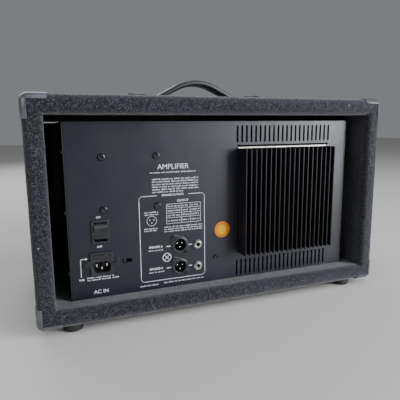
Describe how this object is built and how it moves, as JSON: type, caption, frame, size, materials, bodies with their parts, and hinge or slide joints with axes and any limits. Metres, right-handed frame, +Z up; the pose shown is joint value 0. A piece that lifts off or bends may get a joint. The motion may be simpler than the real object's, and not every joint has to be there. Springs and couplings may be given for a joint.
{
  "type": "guitar amplifier head",
  "caption": "Carpet-covered amplifier head with an open back, finned heat sink, mains and speaker sockets, strap handle and turning front knobs.",
  "frame": {"origin": "on the surface under the feet, under the middle of the cabinet", "axes": "+Z up, +X along the width, -Y out of the control front, +Y out of the open back"},
  "size_m": [0.5534, 0.291, 0.3536],
  "materials": {
    "carpet": "black needle-punched speaker carpet",
    "board": "plywood stained black",
    "protector": "smooth moulded black",
    "rubber": "matt black",
    "black_screw": "black oxide",
    "strap": "soft black vinyl",
    "cap": "black moulded",
    "panel_paint": "satin black powder coat with white print",
    "zinc": "zinc-plated sheet",
    "heat_sink": "black anodised, bare saw-cut ends",
    "black_plastic": "black moulded",
    "nickel": "nickel plated",
    "circuit_board": "green solder mask",
    "capacitor": "blue sleeved can",
    "lamination": "varnished laminations",
    "winding": "polyester tape over copper",
    "fuse_glass": "clear",
    "lamp": "red lens",
    "sticker": "plain orange and yellow round sticker",
    "knob": "black with a white pointer line"
  },
  "bodies": {
    "cabinet": {"board_standoffs": "nickel", "bottom_board": "board", "bridge_rectifier": "black_plastic", "carpet_covering": "carpet", "chassis_bolts": "black_screw", "chassis_cover": "panel_paint", "chassis_tray": "zinc", "connector_screws": "nickel", "corner_protectors": "protector", "filter_capacitors": "capacitor", "front_battens": "board", "front_panel": "panel_paint", "handle_end_caps": "cap", "handle_screws": "nickel", "heat_sink": "heat_sink", "heat_sink_studs": "zinc", "inlet_pins": "nickel", "input_jacks": "black_plastic", "inspection_sticker": "sticker", "jack_nuts": "nickel", "left_side_board": "board", "mains_inlet": "black_plastic", "panel_screws": "black_screw", "potentiometers": "zinc", "power_amp_board": "circuit_board", "power_lamp": "lamp", "power_transistors": "black_plastic", "preamp_board": "circuit_board", "push_switches": "black_plastic", "rear_panel": "panel_paint", "right_side_board": "board", "rocker_frame": "black_plastic", "rubber_feet": "rubber", "selector_body": "black_plastic", "speaker_jacks": "black_plastic", "top_board": "board", "transformer_bolts": "black_screw", "transformer_core": "lamination", "transformer_spacers": "zinc", "transformer_winding": "winding", "transistor_clamp_bar": "zinc", "wood_screws": "black_screw", "xlr_inserts": "black_plastic", "xlr_pins": "nickel", "xlr_shells": "black_plastic"},
    "handle": {"handle_strap": "strap"},
    "power_rocker": {"power_rocker": "black_plastic"},
    "fuse_drawer": {"fuse_drawer": "black_plastic", "mains_fuse": "fuse_glass"},
    "voltage_selector": {"selector_slider": "black_plastic"},
    "bright_button": {"bright_button": "black_plastic"},
    "channel_button": {"channel_button": "black_plastic"},
    "knob_gain": {"knob_gain": "knob"},
    "knob_bass": {"knob_bass": "knob"},
    "knob_middle": {"knob_middle": "knob"},
    "knob_treble": {"knob_treble": "knob"},
    "knob_presence": {"knob_presence": "knob"},
    "knob_reverb": {"knob_reverb": "knob"},
    "knob_volume": {"knob_volume": "knob"},
    "knob_master": {"knob_master": "knob"}
  },
  "joints": [
    {"name": "handle_lift", "type": "slide", "parent": "cabinet", "child": "handle", "axis": [0, 0, 1], "range_m": [0, 0.0024]},
    {"name": "power_rocker_tilt", "type": "hinge", "parent": "cabinet", "child": "power_rocker", "pos_m": [0.185, 0.1122, 0.133], "axis": [1, 0, 0], "range_deg": [0, 18]},
    {"name": "fuse_drawer_slide", "type": "slide", "parent": "cabinet", "child": "fuse_drawer", "axis": [0, 1, 0], "range_m": [0, 0.02]},
    {"name": "voltage_selector_slide", "type": "slide", "parent": "cabinet", "child": "voltage_selector", "axis": [-1, 0, 0], "range_m": [0, 0.0076]},
    {"name": "knob_gain_turn", "type": "hinge", "parent": "cabinet", "child": "knob_gain", "pos_m": [-0.102, -0.12, 0.226], "axis": [0, 1, 0], "range_deg": [-150, 150]},
    {"name": "knob_bass_turn", "type": "hinge", "parent": "cabinet", "child": "knob_bass", "pos_m": [-0.064, -0.12, 0.226], "axis": [0, 1, 0], "range_deg": [-150, 150]},
    {"name": "knob_middle_turn", "type": "hinge", "parent": "cabinet", "child": "knob_middle", "pos_m": [-0.026, -0.12, 0.226], "axis": [0, 1, 0], "range_deg": [-150, 150]},
    {"name": "knob_treble_turn", "type": "hinge", "parent": "cabinet", "child": "knob_treble", "pos_m": [0.012, -0.12, 0.226], "axis": [0, 1, 0], "range_deg": [-150, 150]},
    {"name": "knob_presence_turn", "type": "hinge", "parent": "cabinet", "child": "knob_presence", "pos_m": [0.05, -0.12, 0.226], "axis": [0, 1, 0], "range_deg": [-150, 150]},
    {"name": "knob_reverb_turn", "type": "hinge", "parent": "cabinet", "child": "knob_reverb", "pos_m": [0.088, -0.12, 0.226], "axis": [0, 1, 0], "range_deg": [-150, 150]},
    {"name": "knob_volume_turn", "type": "hinge", "parent": "cabinet", "child": "knob_volume", "pos_m": [0.126, -0.12, 0.226], "axis": [0, 1, 0], "range_deg": [-150, 150]},
    {"name": "knob_master_turn", "type": "hinge", "parent": "cabinet", "child": "knob_master", "pos_m": [0.164, -0.12, 0.226], "axis": [0, 1, 0], "range_deg": [-150, 150]},
    {"name": "bright_button_press", "type": "slide", "parent": "cabinet", "child": "bright_button", "axis": [0, 1, 0], "range_m": [0, 0.003]},
    {"name": "channel_button_press", "type": "slide", "parent": "cabinet", "child": "channel_button", "axis": [0, 1, 0], "range_m": [0, 0.003]}
  ]
}
